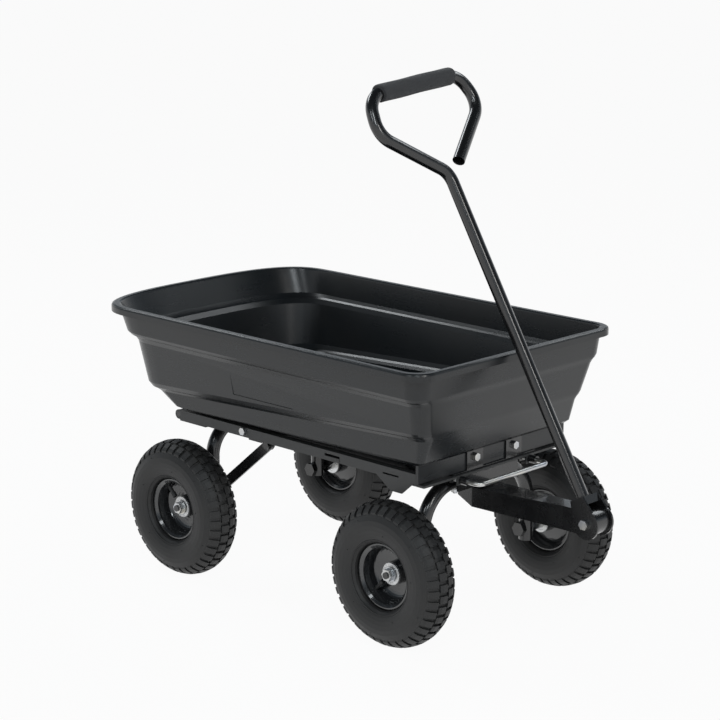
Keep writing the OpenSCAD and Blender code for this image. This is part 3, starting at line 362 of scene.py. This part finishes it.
def tubeRubber():
    f = Finish("tubeRubber")
    where = f.place()
    bloom = f.noise(where, scale=40.0, detail=4.0)
    return f.shade(Base_Color=f.blend(bloom, (0.012, 0.012, 0.012), (0.03, 0.03, 0.03)),
                   Roughness=0.5 + 0.2 * bloom)


def gripFoam():
    f = Finish("gripFoam", Sheen_Weight=0.15, Sheen_Roughness=0.6)
    where = f.place()
    cells = f.node("ShaderNodeTexVoronoi", {"feature": "F1"}, {"Vector": where, "Scale": 1100.0}, out="Distance")
    cloud = f.noise(where, scale=60.0, detail=4.0, roughness=0.6)
    colour = f.blend(cloud, (0.020, 0.0205, 0.0225), (0.034, 0.0345, 0.0375))
    return f.shade(Base_Color=colour, Roughness=0.82 + 0.14 * cells,
                   Normal=f.bump(cells + 0.6 * cloud, distance=0.0006, strength=0.6))


slotFinish = {"rail_paint": railPaint(), "black_paint": blackPaint(), "rim_paint_painted_reflection": rimPaintWithPaintedReflection(),
              "zinc_plate": zincPlate(), "tube_rubber": tubeRubber(), "tub_plastic": tubPlastic(),
              "grip_foam": gripFoam()}
zincNodes = {"hinge_bracket_bolts", "catch_bolts", "strap_bolts", "rail_bolts", "rear_axle_spacers",
             "rear_axle_nuts", "latch_loop", "king_pin", "king_pin_nut", "saddle_bolts", "pivot_spacer",
             "front_axle_spacers", "front_axle_nuts", "pivot_bolt"}
railNodes = {"side_rail_left", "side_rail_right", "front_bolster", "strut_crossmember", "rear_crossplate"}


def dressSolids():
    for name, solid in nodes.items():
        wheel = next((w for w in wheelNames if name.endswith(w)), None)
        if name == "tub":
            finish = slotFinish["tub_plastic"]
        elif name == "handle_grip":
            finish = slotFinish["grip_foam"]
        elif name.startswith("tyre_"):
            finish = tyreRubber(wheel, middleOf(name))
        elif name.startswith("rim_"):
            finish = slotFinish["rim_paint_painted_reflection"]
        elif name.startswith("bearings_"):
            finish = bearingSteel(wheel, middleOf(name))
        elif name.startswith("inner_tube_"):
            finish = slotFinish["tube_rubber"]
        elif name in zincNodes:
            finish = slotFinish["zinc_plate"]
        elif name in railNodes:
            finish = slotFinish["rail_paint"]
        else:
            finish = slotFinish["black_paint"]
        dress(solid, finish)


dressSolids()
print("solids dressed")


# Tub: the moulded shell with soft edges

tubShell = {"mergeBelow": 0.00002, "quadAngle": 12, "quadShape": 60, "edgeRadius": 0.0016, "edgeAngle": 15,
            "edgeSteps": 2, "smoothAngle": 40, "normalWeight": 50}


def makeTub():
    putDown()
    shell = nodes["tub"].copy()
    shell.data = nodes["tub"].data.copy()
    for key in list(shell.keys()):
        del shell[key]
    shell.parent = None
    bpy.context.scene.collection.objects.link(shell)
    bpy.context.view_layer.objects.active = shell
    shell = named("tub_shell")
    pickUp(shell)
    if shell.data.has_custom_normals:
        bpy.ops.mesh.customdata_custom_splitnormals_clear()
    editAll(shell)
    bpy.ops.mesh.remove_doubles(threshold=tubShell["mergeBelow"])
    bpy.ops.mesh.tris_convert_to_quads(face_threshold=math.radians(tubShell["quadAngle"]),
                                       shape_threshold=math.radians(tubShell["quadShape"]))
    bpy.ops.object.mode_set(mode="OBJECT")
    applyModifier(shell, "BEVEL", width=tubShell["edgeRadius"], segments=tubShell["edgeSteps"],
                  limit_method="ANGLE", angle_limit=math.radians(tubShell["edgeAngle"]),
                  use_clamp_overlap=True, miter_outer="MITER_ARC")
    smooth(shell, tubShell["smoothAngle"])
    applyModifier(shell, "WEIGHTED_NORMAL", keep_sharp=True, weight=tubShell["normalWeight"])
    dress(shell, slotFinish["tub_plastic"])
    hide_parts("tub")
    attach(shell, "tub")


makeTub()
print("tub made")


# Foam sleeve on the handle's top bar

handle = {"pivot": (0.496, 0, 0.232), "lean": 26.5, "skew": 5.0, "grip": 0.802, "side": 0.005}
gripSleeve = {"bore": 0.0112, "outer": 0.0155, "length": 0.188, "straight": 0.172, "bendRadius": 0.040,
              "edge": 0.003, "edgeRings": 4, "ringSides": 44, "rings": 48, "dent": 0.0004,
              "waves": ((3, 40, 0.0), (5, -70, 1.3)), "smoothAngle": 60}


def handlePlace():
    return (Matrix.Translation(handle["pivot"])
            @ Matrix.Rotation(math.radians(-handle["lean"]), 4, "Y")
            @ Matrix.Rotation(math.radians(handle["skew"]), 4, "X"))


def sleeveRing(along, radius):
    g = gripSleeve
    over = abs(along) - g["straight"] / 2
    tilt = max(over, 0) / g["bendRadius"] * (1 if along > 0 else -1)
    flat = min(max(along, -g["straight"] / 2), g["straight"] / 2)
    y = flat + g["bendRadius"] * math.sin(tilt)
    z = -g["bendRadius"] * (1 - math.cos(tilt))
    ring = []
    for k in range(g["ringSides"]):
        turn = 2 * math.pi * k / g["ringSides"]
        wave = sum(math.sin(count * turn + rate * along + shift) for count, rate, shift in g["waves"])
        r = radius + (g["dent"] * wave / 2 if radius > g["bore"] else 0)
        up, out = r * math.cos(turn), r * math.sin(turn)
        ring.append(Vector((out, y + up * math.sin(tilt), z + up * math.cos(tilt))))
    return ring


def sleeveStations():
    g = gripSleeve
    half, steps = g["length"] / 2, g["edgeRings"]
    body = [-half + g["length"] * i / g["rings"] for i in range(g["rings"] + 1)]
    body = [(along, g["outer"]) for along in body if abs(along) < half - g["edge"]]
    turns = [math.pi / 2 * i / steps for i in range(steps + 1)]
    end = [(half - g["edge"] * (1 - math.sin(a)), g["outer"] - g["edge"] * (1 - math.cos(a))) for a in turns]
    outside = [(-along, radius) for along, radius in reversed(end)] + body + end
    return outside + [(along, g["bore"]) for along, _ in reversed(outside)]


def makeGrip():
    mesh = bpy.data.meshes.new("grip_sleeve")
    work = bmesh.new()
    rings = [[work.verts.new(p) for p in sleeveRing(*station)] for station in sleeveStations()]
    sides = gripSleeve["ringSides"]
    for i in range(len(rings)):
        here, there = rings[i], rings[(i + 1) % len(rings)]
        for k in range(sides):
            work.faces.new((here[k], here[(k + 1) % sides], there[(k + 1) % sides], there[k]))
    bmesh.ops.recalc_face_normals(work, faces=work.faces)
    work.to_mesh(mesh)
    work.free()
    sleeve = bpy.data.objects.new("grip_sleeve", mesh)
    bpy.context.scene.collection.objects.link(sleeve)
    mesh.transform(handlePlace() @ Matrix.Translation((0, handle["side"], handle["grip"])))
    smooth(sleeve, gripSleeve["smoothAngle"])
    dress(sleeve, slotFinish["grip_foam"])
    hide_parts("handle_grip")
    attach(sleeve, "handle")


makeGrip()
print("grip made")


# Raised ring by the rim and vent pips on the tyres' sidewalls

sidewall = {"ringRadius": 0.0665, "ringThick": 0.0011, "ringSteps": (96, 8), "ringSpot": 0.3, "castFrom": 0.2,
            "pips": 10, "pipStart": 0.25, "pipRadius": 0.0009, "pipTaper": 0.6, "pipHigh": 0.0016, "pipSides": 8,
            "pipRing": (0.079, 0.104), "smoothAngle": 50}


def seatOnTyre(tyre, centre, side, radius, turn):
    start = centre + Vector((radius * math.cos(turn), side * sidewall["castFrom"], radius * math.sin(turn)))
    hit, spot, normal, _ = tyre.ray_cast(start, Vector((0, -side, 0)))
    return (spot, normal) if hit else (None, None)


def makeSidewallTrim(wheel):
    tyre = nodes["tyre_" + wheel]
    centre = middleOf("tyre_" + wheel)
    made = []
    for side in (-1, 1):
        spot, _ = seatOnTyre(tyre, centre, side, sidewall["ringRadius"], sidewall["ringSpot"])
        putDown()
        bpy.ops.mesh.primitive_torus_add(location=(centre.x, spot.y, centre.z), rotation=(math.pi / 2, 0, 0),
                                         major_radius=sidewall["ringRadius"], minor_radius=sidewall["ringThick"],
                                         major_segments=sidewall["ringSteps"][0],
                                         minor_segments=sidewall["ringSteps"][1])
        made.append(bpy.context.object)
        for k in range(sidewall["pips"]):
            turn = 2 * math.pi * (k + sidewall["pipStart"]) / sidewall["pips"]
            radius = sidewall["pipRing"][k % 2]
            spot, normal = seatOnTyre(tyre, centre, side, radius, turn)
            if spot is None:
                continue
            putDown()
            bpy.ops.mesh.primitive_cone_add(vertices=sidewall["pipSides"], radius1=sidewall["pipRadius"],
                                            radius2=sidewall["pipRadius"] * sidewall["pipTaper"],
                                            depth=sidewall["pipHigh"] * 2, location=spot,
                                            rotation=normal.to_track_quat("Z", "Y").to_euler())
            made.append(bpy.context.object)
    pickUp(*made)
    bpy.ops.object.join()
    trim = named("sidewall_trim_" + wheel)
    settle(trim)
    smooth(trim, sidewall["smoothAngle"])
    dress(trim, tyre.data.materials[0])
    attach(trim, "wheel_" + wheel)


for wheelName in wheelNames:
    makeSidewallTrim(wheelName)
print("sidewalls trimmed")
